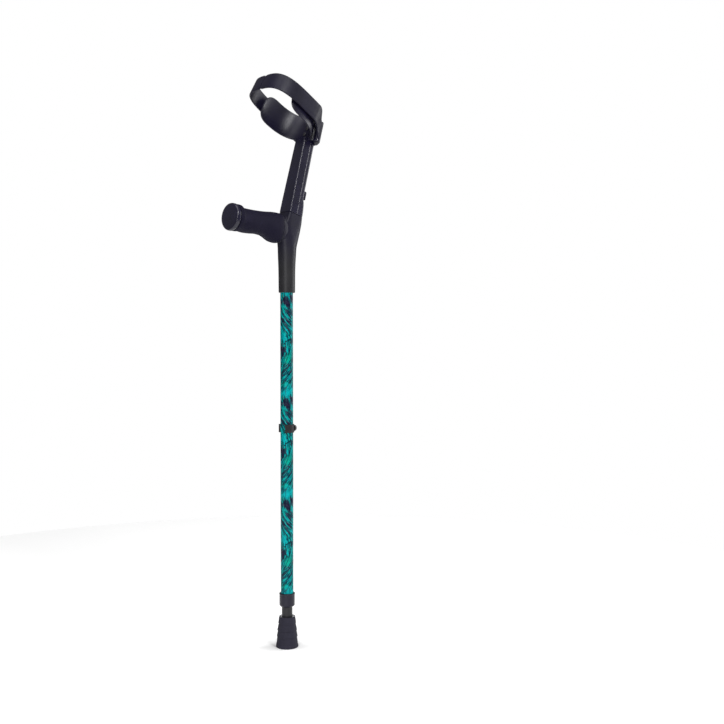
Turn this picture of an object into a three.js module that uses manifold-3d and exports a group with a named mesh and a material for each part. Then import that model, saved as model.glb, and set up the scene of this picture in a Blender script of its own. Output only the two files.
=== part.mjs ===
// Forearm crutch with a closed cuff, in millimetres.
// The origin is the centre of the ferrule's base. +Z runs up the tube, the hand grip points to -Y,
// the forearm section leans back to +Y, and X = 0 is the plane of symmetry.
import * as THREE from "three";
import { mergeVertices } from "three/addons/utils/BufferGeometryUtils.js";
import Module from "manifold-3d";

const wasm = await Module();
wasm.setup();

// Driving dimensions
const GAP = 0.3; // clearance between neighbouring pieces
const ROUND = 36; // facets of a full turn on the tubes

const FERRULE_HEIGHT = 54;
const FERRULE_FLOOR = 10; // rubber under the leg tube
// The ferrule's moulded tiers: bottom, top, radius at the bottom and at the top.
const FERRULE_TIERS = [
  [0.7, 4.9, 19.6, 19.4], [4.9, 18.9, 18.6, 18.2], [18.9, 29.6, 17, 17], [29.6, 42.2, 16, 15.4],
  [42.2, 53.2, 14.9, 14.2],
];

const LEG_R = 9.25;
const LEG_WALL = 1.5;
const LEG_TOP = 614;
const TUBE_R = 11;
const TUBE_WALL = 1.3;
const TUBE_BOTTOM = 76.3;
const TUBE_TOP = 692;
const COLLAR_R = 13;
const COLLAR_BOTTOM = 71.5;
const COLLAR_TOP = 95;

const CLIP_Z = 383; // height of the clip and of the hole in use
const CLIP_HEIGHT = 14.2;
const CLIP_R = 12.8;
const PIN_ANGLE = THREE.MathUtils.degToRad(80); // from +X towards +Y
const PIN_R = 2.9;
const HOLE_R = 3.2;
const LEG_HOLES = 7;
const LEG_PITCH = 25;

const NECK_BOTTOM = 618.5;
const CROSS_PIN_Z = 659;
const CROSS_PIN_R = 2.2;

const GRIP_RISE = THREE.MathUtils.degToRad(4.5); // the grip rises towards its end
const GRIP_ROOT_Z = 731; // height of the grip's axis at the tube's axis
const CORE_R = 12;
const CORE_LENGTH = 112.4;
const CAP_R = 23;
const CAP_FACE = 124; // distance of the cap's face along the grip's axis

const ARM_LEAN = THREE.MathUtils.degToRad(15.4);
const ARM_ORIGIN = new THREE.Vector3(0, 3, 739);
const SEAM = 17; // where the sleeve meets the handle body, along the forearm section
const POST_HALF = 8.5;
const POST_TOP = 121;
const PEG_ALONG = 56;
const PEG_HOLES = 7;
const PEG_PITCH = 10;
const PEG_R = 3;
const SLEEVE_TOP = 186;

const CUFF_TILT = THREE.MathUtils.degToRad(30);
const CUFF_ORIGIN = new THREE.Vector3(0, -1.1, 927);
const SHELL = { halfWidth: 45.7, halfDepth: 55.2, power: 2.3, wall: 2.6, leanIn: 4.4 };
const SHELL_LOW = -13.5;
const SHELL_HIGH = 35;
const SHELL_TIP = THREE.MathUtils.degToRad(25); // how far its tips reach past the widest place
const FLAP = { halfWidth: 49.8, halfDepth: 67.6, power: 3.3, wall: 3, leanIn: 0 };
const FLAP_HEIGHT = 30;
const LEAF_START = THREE.MathUtils.degToRad(8); // where the flap's band turns into its leaf
const LEAF_OVERLAP = THREE.MathUtils.degToRad(2);
// The leaf's outer face in the cuff's frame: x, y, low edge and high edge.
const LEAF_COLUMNS = [
  [48.6, 28, 0, 30], [45.9, 35, 0, 27.5], [42.7, 40.6, -0.5, 21.5], [39.4, 46, -2, 17], [34.6, 54.5, -6, 15],
];


const HINGE = { x: 24.2, depth: 5.3, r: 6, low: 150, high: 187 }; // barrel beside the forearm section
const EAR_HEIGHT = 5;
const HINGE_PIN_R = 2;
const BORE_R = 2.3;
const SPRING = { low: 155.4, high: 164.2, meanR: 3.7, wireR: 0.45, turns: 3.5 };
const SCREWS = { upper: 176, lower: 164 }; // heights of the cuff screws along the forearm section

const BRACKET_FRONT = 12.6; // depths of the bracket's web behind the forearm section's middle
const BRACKET_BACK = 16;

// Colours and finishes
const PLASTIC = { color: 0x2b2a33, roughness: 0.5, metalness: 0 };
const RUBBER = { color: 0x2a2b30, roughness: 0.85, metalness: 0 };
const PRINT = { color: 0x0e8f8a, roughness: 0.25, metalness: 0 };
const BLACK_METAL = { color: 0x1e1e22, roughness: 0.4, metalness: 0.6 };
const STEEL = { color: 0xb9bcc0, roughness: 0.3, metalness: 1 };

// Working in solids

function toSolid(geometry) {
  const bare = geometry.index ? geometry.toNonIndexed() : geometry.clone();
  bare.deleteAttribute("normal");
  bare.deleteAttribute("uv");
  const merged = mergeVertices(bare, 1e-4);
  return new wasm.Manifold(
    new wasm.Mesh({
      numProp: 3,
      vertProperties: merged.attributes.position.array,
      triVerts: new Uint32Array(merged.index.array),
    }),
  );
}

function toGeometry(solid) {
  const { vertProperties, triVerts } = solid.getMesh();
  const geometry = new THREE.BufferGeometry();
  geometry.setAttribute("position", new THREE.BufferAttribute(new Float32Array(vertProperties), 3));
  geometry.setIndex(new THREE.BufferAttribute(new Uint32Array(triVerts), 1));
  geometry.computeVertexNormals();
  return geometry;
}

function join(...geometries) {
  return toGeometry(geometries.map(toSolid).reduce((whole, piece) => whole.add(piece)));
}

function cut(geometry, ...tools) {
  return toGeometry(tools.map(toSolid).reduce((rest, tool) => rest.subtract(tool), toSolid(geometry)));
}

// A body of revolution about Z from [radius, height] points.
function turned(profile, facets = ROUND) {
  const points = profile.map(([r, z]) => new THREE.Vector2(r, z));
  const area = points.reduce((sum, p, i) => sum + p.cross(points[(i + 1) % points.length]), 0);
  if (area < 0) points.reverse();
  return new THREE.LatheGeometry(points, facets).rotateX(Math.PI / 2);
}

function ring(rIn, rOut, low, high, facets) {
  return turned([[rIn, low], [rOut, low], [rOut, high], [rIn, high], [rIn, low]], facets);
}

function rod(r, low, high, facets = 16) {
  return turned([[0, low], [r, low], [r, high], [0, high]], facets);
}

function block(low, high) {
  const size = high.map((value, i) => value - low[i]);
  const middle = high.map((value, i) => (value + low[i]) / 2);
  return new THREE.BoxGeometry(...size).translate(...middle);
}

// Turns a Z rod to point along the pin's direction, at the clip's height.
function towardsPin(geometry) {
  return geometry.rotateY(Math.PI / 2).rotateZ(PIN_ANGLE).translate(0, 0, CLIP_Z);
}

// A closed body through rings of points. Each ring runs anticlockwise seen from the last one.
function loft(rings) {
  const count = rings[0].length;
  const positions = rings.flat();
  const middles = [rings[0], rings.at(-1)].map((points) =>
    points.reduce((sum, p) => sum.add(p), new THREE.Vector3()).divideScalar(count),
  );
  const index = [];
  for (let i = 0; i + 1 < rings.length; i++) {
    for (let j = 0; j < count; j++) {
      const a = i * count + j;
      const b = i * count + ((j + 1) % count);
      index.push(a, b, b + count, a, b + count, a + count);
    }
  }
  const last = (rings.length - 1) * count;
  for (let j = 0; j < count; j++) {
    const next = (j + 1) % count;
    index.push(positions.length, next, j);
    index.push(positions.length + 1, last + j, last + next);
  }
  const geometry = new THREE.BufferGeometry().setFromPoints([...positions, ...middles]);
  geometry.setIndex(index);
  return geometry;
}

// A point of a superellipse: 2 is an ellipse, and a higher power is squarer.
function superellipse(angle, a, b, power) {
  const c = Math.cos(angle);
  const s = Math.sin(angle);
  return new THREE.Vector2(
    a * Math.sign(c) * Math.abs(c) ** (2 / power),
    b * Math.sign(s) * Math.abs(s) ** (2 / power),
  );
}

// A section across Z, from y = back to y = front, as a ring of points.
function section({ z, halfWidth, back, front, power }, facets = 32) {
  return Array.from({ length: facets }, (_, i) => {
    const p = superellipse((i * 2 * Math.PI) / facets, halfWidth, (front - back) / 2, power);
    return new THREE.Vector3(p.x, p.y + (front + back) / 2, z);
  });
}

// Frames: the grip (Z out along its axis, Y up), the forearm section and the cuff (Z up, Y back).

function frame(origin, pitch) {
  const turn = new THREE.Matrix4().makeRotationX(pitch);
  return new THREE.Matrix4().makeTranslation(origin).multiply(turn);
}

const gripFrame = frame(new THREE.Vector3(0, 0, GRIP_ROOT_Z), Math.PI / 2 - GRIP_RISE);
const armFrame = frame(ARM_ORIGIN, -ARM_LEAN);
const cuffFrame = frame(CUFF_ORIGIN, -CUFF_TILT);
const cuffInArm = armFrame.clone().invert().multiply(cuffFrame);

// The leg

function ferrule() {
  const outline = [[0, 0], [7, 0], [7.8, 1.5], [11.8, 1.5], [12.6, 0], [18.8, 0]];
  for (const [low, high, lowR, highR] of FERRULE_TIERS) {
    outline.push([lowR, low], [highR, high - 0.2]);
  }
  outline.push([13.4, FERRULE_HEIGHT], [LEG_R + 1.6, FERRULE_HEIGHT], [LEG_R + GAP, FERRULE_HEIGHT - 1.8]);
  outline.push([LEG_R + GAP, FERRULE_FLOOR], [0, FERRULE_FLOOR]);
  return turned(outline);
}

function ferruleWasher() {
  return rod(LEG_R - GAP, FERRULE_FLOOR + GAP, FERRULE_FLOOR + GAP + 1.5, 24);
}

function innerLegTube() {
  const bottom = FERRULE_FLOOR + 2 * GAP + 1.5;
  const holes = Array.from({ length: LEG_HOLES }, (_, i) =>
    towardsPin(rod(HOLE_R, 0, LEG_R + 2)).translate(0, 0, i * LEG_PITCH),
  );
  return cut(ring(LEG_R - LEG_WALL, LEG_R, bottom, LEG_TOP), ...holes);
}

function legTopPlug() {
  const bore = LEG_R - LEG_WALL - GAP;
  return turned([[0, LEG_TOP - 14], [bore - 1, LEG_TOP - 14], [bore, LEG_TOP - 12], [bore, LEG_TOP + GAP],
    [LEG_R - 0.1, LEG_TOP + GAP], [LEG_R - 0.1, LEG_TOP + 2.3], [LEG_R - 0.9, LEG_TOP + 3], [0, LEG_TOP + 3]], 24);
}

function lowerCollar() {
  const lip = LEG_R + GAP;
  const seat = TUBE_R + GAP;
  return turned([[lip, COLLAR_BOTTOM], [COLLAR_R - 1, COLLAR_BOTTOM], [COLLAR_R, COLLAR_BOTTOM + 1.2],
    [COLLAR_R, COLLAR_TOP - 2.4], [COLLAR_R + 0.5, COLLAR_TOP - 2], [COLLAR_R + 0.5, COLLAR_TOP - 0.5],
    [COLLAR_R, COLLAR_TOP], [seat, COLLAR_TOP], [seat, TUBE_BOTTOM - GAP], [lip, TUBE_BOTTOM - GAP],
    [lip, COLLAR_BOTTOM]]);
}

function outerTube() {
  const pinHole = towardsPin(rod(HOLE_R, 0, TUBE_R + 2));
  const crossHole = rod(CROSS_PIN_R + GAP, -TUBE_R - 2, TUBE_R + 2).rotateY(Math.PI / 2);
  crossHole.translate(0, 0, CROSS_PIN_Z);
  return cut(ring(TUBE_R - TUBE_WALL, TUBE_R, TUBE_BOTTOM, TUBE_TOP), pinHole, crossHole);
}

// The springy C-clip: open opposite the pin, with an ear turned out at each end.
function heightClip() {
  const seat = TUBE_R + GAP;
  const polar = (r, degrees) => {
    const angle = PIN_ANGLE + THREE.MathUtils.degToRad(degrees);
    return new THREE.Vector2(r * Math.cos(angle), r * Math.sin(angle));
  };
  const arc = (r, from, to, steps) =>
    Array.from({ length: steps + 1 }, (_, i) => polar(r, from + ((to - from) * i) / steps));
  const outline = [
    ...arc(CLIP_R, -118, 118, 26),
    polar(13.5, 123), polar(15.2, 128), polar(14.6, 132), polar(12.6, 131), polar(11.5, 126),
    ...arc(seat, 121, -121, 26),
    polar(11.5, -126), polar(12.6, -131), polar(14.6, -132), polar(15.2, -128), polar(13.5, -123),
  ];
  const band = new THREE.ExtrudeGeometry(new THREE.Shape(outline), { depth: CLIP_HEIGHT, bevelEnabled: false });
  band.translate(0, 0, CLIP_Z - CLIP_HEIGHT / 2);
  const boss = towardsPin(rod(6.4, TUBE_R + 1, CLIP_R + 1.3, 24));
  const hole = towardsPin(rod(HOLE_R, 0, CLIP_R + 3));
  const tubeSpace = rod(seat, CLIP_Z - 10, CLIP_Z + 10, 54);
  return cut(join(band, boss), hole, tubeSpace);
}

// The locking pin with its domed head.
function heightPin() {
  const head = CLIP_R + 1.3 + GAP;
  const dome = Array.from({ length: 5 }, (_, i) => {
    const angle = (i * Math.PI) / 8;
    return [5.2 * Math.cos(angle), head + 1 + 3.1 * Math.sin(angle)];
  });
  dome.at(-1)[0] = 0;
  return towardsPin(turned([[0, 6.4], [PIN_R - 0.6, 6.4], [PIN_R, 7], [PIN_R, head], [5.2, head], ...dome], 20));
}

// The handle

function handleBody() {
  const neck = [
    { z: NECK_BOTTOM, halfWidth: 13.3, back: -13.3, front: 13.3, power: 2 },
    { z: NECK_BOTTOM + 1, halfWidth: 13.8, back: -13.8, front: 13.8, power: 2 },
    { z: 654, halfWidth: 14.2, back: -14.2, front: 14.2, power: 2 },
    { z: 694, halfWidth: 15.6, back: -15.5, front: 16.6, power: 2 },
    { z: 710, halfWidth: 15.6, back: -15.8, front: 20, power: 2.4 },
    { z: 726, halfWidth: 15.3, back: -14.5, front: 23.2, power: 3.4 },
    { z: 741, halfWidth: 15.3, back: -11.4, front: 24.5, power: 6 },
  ].map((level) => section(level));
  const seam = section({ ...sleeveLevels[0], z: SEAM - GAP });
  const neckBody = loft([...neck, seam.map((p) => p.applyMatrix4(armFrame))]);
  const root = loft([
    section({ z: -4, halfWidth: 12, back: -22, front: 18, power: 2.2 }),
    section({ z: 12, halfWidth: 14.5, back: -26, front: 21, power: 2.2 }),
    section({ z: 17.7, halfWidth: 15, back: -26.5, front: 21, power: 2.2 }),
  ]).applyMatrix4(gripFrame);
  const core = rod(CORE_R, 0, CORE_LENGTH, 24).applyMatrix4(gripFrame);
  const post = block([-POST_HALF, -POST_HALF, SEAM - 8], [POST_HALF, POST_HALF, POST_TOP]).applyMatrix4(armFrame);
  const holes = Array.from({ length: PEG_HOLES }, (_, i) =>
    rod(PEG_R + GAP, 0, POST_HALF + 4).rotateX(-Math.PI / 2)
      .translate(0, 0, PEG_ALONG + i * PEG_PITCH).applyMatrix4(armFrame),
  );
  const tubeBore = rod(TUBE_R + GAP, NECK_BOTTOM - 2, TUBE_TOP + GAP, ROUND);
  const crossHole = rod(CROSS_PIN_R + GAP, -20, 20).rotateY(Math.PI / 2).translate(0, 0, CROSS_PIN_Z);
  const capBore = rod(6.3, CORE_LENGTH - 15, CORE_LENGTH + 2, 24).applyMatrix4(gripFrame);
  return cut(join(neckBody, root, core, post), tubeBore, crossHole, capBore, ...holes);
}

function neckCrossPin() {
  return rod(CROSS_PIN_R, -13.6, 13.6).rotateY(Math.PI / 2).translate(0, 0, CROSS_PIN_Z);
}

// The soft grip: a waist for the fingers, a heel under the hand and a flange at its end.
function gripSleeve() {
  const levels = [
    [18, 15.3, -26.5, 21.2], [20, 17.6, -29, 22.2], [27, 18.8, -30, 22.3], [36, 19, -29, 22],
    [46, 19, -24.5, 20.8], [56, 19, -21.2, 19.6], [68, 19.3, -20.6, 18.8], [80, 19.8, -21.8, 18.3],
    [93, 20.2, -22.4, 18.2], [103, 20.5, -21.6, 18.6], [105.6, 20.8, -21.4, 19.6], [106.8, 22.2, -22.2, 22],
    [113.2, 22.2, -22.2, 22.2], [114.3, 21.4, -21.4, 21.4],
  ];
  const rings = levels.map(([z, halfWidth, back, front]) =>
    section({ z, halfWidth, back, front, power: 2.15 }),
  );
  return cut(loft(rings), rod(CORE_R + GAP, 10, 120, 24)).applyMatrix4(gripFrame);
}

function gripEndCap() {
  const back = CAP_FACE - 9.3;
  return turned([[0, CORE_LENGTH - 12], [5.2, CORE_LENGTH - 12], [6, CORE_LENGTH - 11], [6, back],
    [20.6, back], [21.4, back + 1.4], [22.6, back + 1.8], [CAP_R, back + 2.8], [CAP_R, CAP_FACE - 1.9],
    [22.2, CAP_FACE - 0.5], [20.8, CAP_FACE], [0, CAP_FACE]]).applyMatrix4(gripFrame);
}

// The forearm section. These pieces are drawn in its own frame.

const sleeveLevels = [
  { z: SEAM, halfWidth: 15.3, back: -12.2, front: 17.8, power: 11 },
  { z: 26, halfWidth: 15.1, back: -12.4, front: 17.4, power: 11 },
  { z: 42, halfWidth: 14.7, back: -12.7, front: 15, power: 11 },
  { z: 48, halfWidth: 14.5, back: -12.8, front: 12.8, power: 11 },
  { z: 66, halfWidth: 14.2, back: -12.8, front: 12.2, power: 11 },
  { z: SLEEVE_TOP - 3, halfWidth: 12, back: -12.8, front: 12.2, power: 11 },
  { z: SLEEVE_TOP, halfWidth: 11, back: -11.8, front: 11.2, power: 11 },
];

// The space of the cuff shell and everything inside it, drawn in the cuff's frame.
function shellSpace() {
  const levels = [SHELL_LOW - GAP, 60];
  return loft(levels.map((z) =>
    section({
      z,
      halfWidth: SHELL.halfWidth + GAP,
      back: -SHELL.halfDepth - GAP,
      front: SHELL.halfDepth + GAP,
      power: SHELL.power,
    }, 72),
  )).applyMatrix4(cuffInArm);
}

function screwHole(height) {
  return rod(BORE_R, -12, 20).rotateX(-Math.PI / 2).translate(0, 0, height);
}

function forearmSleeve() {
  const inside = POST_HALF + GAP;
  const cavity = block([-inside, -inside, SEAM - 5], [inside, inside, POST_TOP + 17]);
  const pegHole = rod(PEG_R + GAP, 0, 25).rotateX(-Math.PI / 2).translate(0, 0, PEG_ALONG);
  const outside = loft(sleeveLevels.map((level) => section(level)));
  return cut(outside, cavity, pegHole, shellSpace(), screwHole(SCREWS.upper), screwHole(SCREWS.lower));
}

// The pull-out peg: a wide tab with a finger notch under it.
function cuffLockPeg() {
  const shape = new THREE.Shape([
    new THREE.Vector2(13.2, 48.8), new THREE.Vector2(15, 48.8), new THREE.Vector2(16, 51),
    new THREE.Vector2(18.2, 48.6), new THREE.Vector2(19, 49.4), new THREE.Vector2(19, 62),
    new THREE.Vector2(17.6, 63.6), new THREE.Vector2(13.2, 63.6),
  ]);
  const tab = new THREE.ExtrudeGeometry(shape, { depth: 20, bevelEnabled: false });
  const standing = new THREE.Matrix4().makeBasis(
    new THREE.Vector3(0, 1, 0), new THREE.Vector3(0, 0, 1), new THREE.Vector3(1, 0, 0));
  tab.applyMatrix4(standing).translate(-10, 0, 0);
  const shank = rod(PEG_R, 2.5, 15).rotateX(-Math.PI / 2).translate(0, 0, PEG_ALONG);
  return join(tab, shank);
}

// The cuff. A band follows a superellipse at the wall's outer face, given by angle from +X.

function bandPoint(band, angle, inward, s) {
  const lean = (band.leanIn * (s - SHELL_LOW)) / (SHELL_HIGH - SHELL_LOW);
  const outer = superellipse(angle, band.halfWidth - lean, band.halfDepth, band.power);
  const inner = superellipse(angle, band.halfWidth - lean - band.wall, band.halfDepth - band.wall, band.power);
  const p = outer.lerp(inner, inward);
  return new THREE.Vector3(p.x, p.y, s);
}

// A closed wall through columns of { angle, low, high }.
function wall(band, columns, rows = 1) {
  const rings = columns.map(({ angle, low, high }) => {
    const heights = Array.from({ length: rows + 1 }, (_, i) => low + ((high - low) * i) / rows);
    return [
      ...heights.map((s) => bandPoint(band, angle, 1, s)),
      ...heights.reverse().map((s) => bandPoint(band, angle, 0, s)),
    ];
  });
  return loft(rings);
}

// Rounds a band's end: 0 at the tip and 1 where it has its full height.
function rounding(fraction, power = 3) {
  return (1 - (1 - Math.min(Math.max(fraction, 0.02), 1)) ** power) ** (1 / power);
}

function cuffShell() {
  const taperAngle = THREE.MathUtils.degToRad(28);
  const steps = 44;
  const middle = (SHELL_LOW + SHELL_HIGH) / 2;
  const columns = Array.from({ length: steps + 1 }, (_, i) => {
    const share = (1 - Math.cos((i * Math.PI) / steps)) / 2;
    const angle = -SHELL_TIP + share * (Math.PI + 2 * SHELL_TIP);
    const fromTip = Math.min(angle + SHELL_TIP, Math.PI + SHELL_TIP - angle);
    const half = ((SHELL_HIGH - SHELL_LOW) / 2) * rounding(fromTip / taperAngle, 2.6);
    return { angle, low: middle - half, high: middle + half };
  });
  const shell = wall(SHELL, columns, 2).applyMatrix4(cuffInArm);
  return cut(shell, screwHole(SCREWS.upper), screwHole(SCREWS.lower));
}

// The leaf that carries a flap's band on round to its hinge barrel, in the forearm section's frame.
function flapLeaf() {
  const start = bandPoint(FLAP, LEAF_START - LEAF_OVERLAP, 0.1, 0);
  const path = [[start.x, start.y, 0, FLAP_HEIGHT], ...LEAF_COLUMNS];
  const columns = path.map(([x, y, low, high], i) => {
    const [fromX, fromY] = path[Math.max(i - 1, 0)];
    const [toX, toY] = path[Math.min(i + 1, path.length - 1)];
    const inward = new THREE.Vector3(fromY - toY, toX - fromX, 0).setLength(FLAP.wall);
    const corners = [[low, 1], [high, 1], [high, 0], [low, 0]];
    return corners.map(([s, depth]) =>
      new THREE.Vector3(x, y, s).addScaledVector(inward, depth).applyMatrix4(cuffInArm));
  });
  const barrelSide = [[26.5, 3.5, 155.6], [25.7, 6.3, 179.5], [29, 8.8, 179.5], [29.6, 3.5, 155.6]];
  columns.push(barrelSide.map((corner) => new THREE.Vector3(...corner)));
  const edges = barrelSide.map((_, k) => new THREE.CatmullRomCurve3(columns.map((column) => column[k])));
  const steps = 14;
  return loft(Array.from({ length: steps + 1 }, (_, i) => edges.map((edge) => edge.getPoint(i / steps))));
}

function rightFlap() {
  const front = -Math.PI / 2;
  const seamAngle = 0.0006; // half the seam between the flaps
  const steps = 32;
  const columns = Array.from({ length: steps + 1 }, (_, i) => {
    const share = (i / steps) ** 1.4;
    const angle = front + seamAngle + share * (LEAF_START - front - seamAngle);
    const along = bandPoint(FLAP, angle, 0, 0).x;
    const drop = 3.4 * (1 - rounding(along / 6.5, 2));
    return { angle, low: drop, high: FLAP_HEIGHT - drop };
  });
  const band = wall(FLAP, columns).applyMatrix4(cuffInArm);
  const low = HINGE.low + EAR_HEIGHT + GAP;
  const high = HINGE.high - EAR_HEIGHT - GAP;
  const barrel = rod(HINGE.r, low, high, 24).translate(HINGE.x, HINGE.depth, 0);
  const lowerEarSpace = rod(HINGE.r + GAP, low - 20, low, 24).translate(HINGE.x, HINGE.depth, 0);
  const upperEarSpace = rod(HINGE.r + GAP, high, high + 20, 24).translate(HINGE.x, HINGE.depth, 0);
  const bore = rod(BORE_R, HINGE.low, HINGE.high).translate(HINGE.x, HINGE.depth, 0);
  const pocket = rod(SPRING.meanR + 1.3, SPRING.low - 0.6, SPRING.high + 0.6).translate(HINGE.x, HINGE.depth, 0);
  const window = block([HINGE.x - 9, HINGE.depth - 4, SPRING.low], [HINGE.x - 2.5, HINGE.depth + 4, SPRING.high]);
  return cut(join(band, flapLeaf(), barrel), lowerEarSpace, upperEarSpace, bore, pocket, window);
}

// The bracket behind the forearm section: a web with an ear at each end of each barrel.
function hingeBracket() {
  const web = block([-14, BRACKET_FRONT, HINGE.low], [14, BRACKET_BACK, HINGE.high]);
  const outline = [[12.9, BRACKET_FRONT], [20.9, 0.4], [HINGE.x, HINGE.depth], [27.3, 10.44], [15, BRACKET_BACK],
    [0, BRACKET_BACK], [0, BRACKET_FRONT]];
  const pieces = [web];
  for (const low of [HINGE.low, HINGE.high - EAR_HEIGHT]) {
    for (const side of [1, -1]) {
      const points = outline.map(([x, y]) => new THREE.Vector2(side * x, y));
      const arm = new THREE.ExtrudeGeometry(new THREE.Shape(points), { depth: EAR_HEIGHT, bevelEnabled: false });
      pieces.push(arm.translate(0, 0, low));
      pieces.push(rod(HINGE.r, low, low + EAR_HEIGHT, 24).translate(side * HINGE.x, HINGE.depth, 0));
    }
  }
  const bores = [1, -1].map((side) =>
    rod(BORE_R, HINGE.low - 5, HINGE.high + 5).translate(side * HINGE.x, HINGE.depth, 0),
  );
  return cut(join(...pieces), ...bores, screwHole(SCREWS.upper), screwHole(SCREWS.lower));
}

function hingePin() {
  const low = HINGE.low - GAP;
  const high = HINGE.high + GAP;
  return turned([[0, low - 1.2], [2.6, low - 1.2], [3.2, low - 0.6], [3.2, low], [HINGE_PIN_R, low],
    [HINGE_PIN_R, high], [3.2, high], [3.2, high + 0.6], [2.6, high + 1.2], [0, high + 1.2]], 16)
    .translate(HINGE.x, HINGE.depth, 0);
}

// The torsion spring round the hinge pin, a helix of wire.
function torsionSpring() {
  const steps = 12 * SPRING.turns;
  const rise = SPRING.high - SPRING.low - 2 * SPRING.wireR;
  const points = Array.from({ length: steps + 1 }, (_, i) => {
    const angle = (i * 2 * Math.PI) / 12;
    return new THREE.Vector3(
      HINGE.x + SPRING.meanR * Math.cos(angle),
      HINGE.depth + SPRING.meanR * Math.sin(angle),
      SPRING.low + SPRING.wireR + (rise * i) / steps,
    );
  });
  const wire = new THREE.Shape(Array.from({ length: 6 }, (_, i) =>
    new THREE.Vector2(SPRING.wireR * Math.cos((i * Math.PI) / 3), SPRING.wireR * Math.sin((i * Math.PI) / 3)),
  ));
  const path = new THREE.CatmullRomCurve3(points);
  return new THREE.ExtrudeGeometry(wire, { steps, extrudePath: path, bevelEnabled: false });
}

// A screw from inside the cuff, through the shell and the sleeve into the bracket.
function cuffScrew(height) {
  const rear = new THREE.Vector3(0, SHELL.halfDepth - SHELL.wall, 0);
  const slope = Math.tan(CUFF_TILT - ARM_LEAN);
  const start = rear.applyMatrix4(cuffInArm);
  const inside = start.y + (height - start.z) * slope;
  const seat = inside - 1.4;
  return turned([[0, seat - 1.6], [2.4, seat - 1.5], [3.6, seat - 0.7], [3.6, seat], [HINGE_PIN_R, seat],
    [HINGE_PIN_R, BRACKET_BACK], [0, BRACKET_BACK]], 16).rotateX(-Math.PI / 2).translate(0, 0, height);
}

// Assembly

function piece(name, geometry, finish) {
  const mesh = new THREE.Mesh(geometry, new THREE.MeshStandardMaterial(finish));
  mesh.name = name;
  return mesh;
}

function mirrored(mesh) {
  mesh.scale.x = -1;
  return mesh;
}

const crutch = new THREE.Group();
crutch.add(
  piece("ferrule", ferrule(), RUBBER),
  piece("ferrule_washer", ferruleWasher(), STEEL),
  piece("inner_leg_tube", innerLegTube(), BLACK_METAL),
  piece("leg_top_plug", legTopPlug(), PLASTIC),
  piece("lower_collar", lowerCollar(), PLASTIC),
  piece("outer_tube", outerTube(), PRINT),
  piece("height_clip", heightClip(), PLASTIC),
  piece("height_pin", heightPin(), PLASTIC),
  piece("handle_body", handleBody(), PLASTIC),
  piece("neck_cross_pin", neckCrossPin(), STEEL),
  piece("grip_sleeve", gripSleeve(), RUBBER),
  piece("grip_end_cap", gripEndCap(), PLASTIC),
);

const arm = new THREE.Group();
arm.position.copy(ARM_ORIGIN);
arm.rotation.x = -ARM_LEAN;
arm.add(
  piece("forearm_sleeve", forearmSleeve(), PLASTIC),
  piece("cuff_lock_peg", cuffLockPeg(), PLASTIC),
  piece("cuff_shell", cuffShell(), PLASTIC),
  piece("hinge_bracket", hingeBracket(), PLASTIC),
  piece("upper_cuff_screw", cuffScrew(SCREWS.upper), STEEL),
  piece("lower_cuff_screw", cuffScrew(SCREWS.lower), STEEL),
  piece("right_flap", rightFlap(), PLASTIC),
  mirrored(piece("left_flap", rightFlap(), PLASTIC)),
  piece("right_hinge_pin", hingePin(), STEEL),
  mirrored(piece("left_hinge_pin", hingePin(), STEEL)),
  piece("right_torsion_spring", torsionSpring(), STEEL),
  mirrored(piece("left_torsion_spring", torsionSpring(), STEEL)),
);
crutch.add(arm);

export default crutch;
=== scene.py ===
import math

import bmesh
import bpy
from mathutils import Matrix, Vector


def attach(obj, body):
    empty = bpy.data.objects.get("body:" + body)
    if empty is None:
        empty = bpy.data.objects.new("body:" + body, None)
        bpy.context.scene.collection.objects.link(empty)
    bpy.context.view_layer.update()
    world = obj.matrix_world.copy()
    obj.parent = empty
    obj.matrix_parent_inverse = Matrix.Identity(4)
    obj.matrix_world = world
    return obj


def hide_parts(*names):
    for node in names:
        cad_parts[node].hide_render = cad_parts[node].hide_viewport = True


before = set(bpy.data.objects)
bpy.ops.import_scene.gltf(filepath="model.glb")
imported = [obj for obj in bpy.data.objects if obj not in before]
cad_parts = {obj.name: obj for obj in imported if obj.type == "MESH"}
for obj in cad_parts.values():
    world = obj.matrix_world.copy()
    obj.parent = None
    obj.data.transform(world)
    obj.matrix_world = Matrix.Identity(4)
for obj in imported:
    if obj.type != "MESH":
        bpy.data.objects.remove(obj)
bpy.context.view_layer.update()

# Shapes are drawn in millimetres and scaled once, when the mesh is made.
MM = 0.001

LEG_R, LEG_BORE, LEG_FOOT, LEG_TOP = 9.25, 7.75, 10.1, 614
LEG_SLIDE_R = 9.55  # what the leg slides in
TUBE_R, TUBE_BORE, TUBE_FOOT, TUBE_TOP = 11, 9.7, 76.3, 692
CLIP_Z, CLIP_TURN, CLIP_HALF_HEIGHT = 383, 80, 7.1
POST_HALF, POST_LOW, POST_HIGH = 8.5, 10, 121
PEG_Z, PEG_STEP, PEG_HOLES, PEG_HOLE_R = 56, 10, 7, 3.3
FACETS = 48  # round the pins, bores and screws


def placed(at, degrees, axis="X"):
    """A frame at a point, turned about one axis."""
    return Matrix.Translation(at) @ Matrix.Rotation(math.radians(degrees), 4, axis)


# The frames of the forearm section, the grip and the cuff.
ARM = placed((0, 3, 739), -15.4)
GRIP = placed((0, 0, 731), 85.5)
CUFF = placed((0, -1.1, 927), -30)
ARM_INVERSE = ARM.inverted()
UPRIGHT = Matrix.Identity(4)
SCENE_ROOT = bpy.context.scene.collection


# ---------- mesh helpers ----------

def finish_mesh(piece, sharp=38):
    """Smooth shading, with edges sharper than so many degrees kept crisp."""
    bm = bmesh.new()
    bm.from_mesh(piece.data)
    bmesh.ops.recalc_face_normals(bm, faces=bm.faces)
    bm.to_mesh(piece.data)
    bm.free()
    for face in piece.data.polygons:
        face.use_smooth = True
    piece.data.set_sharp_from_angle(angle=math.radians(sharp))
    return piece


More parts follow.
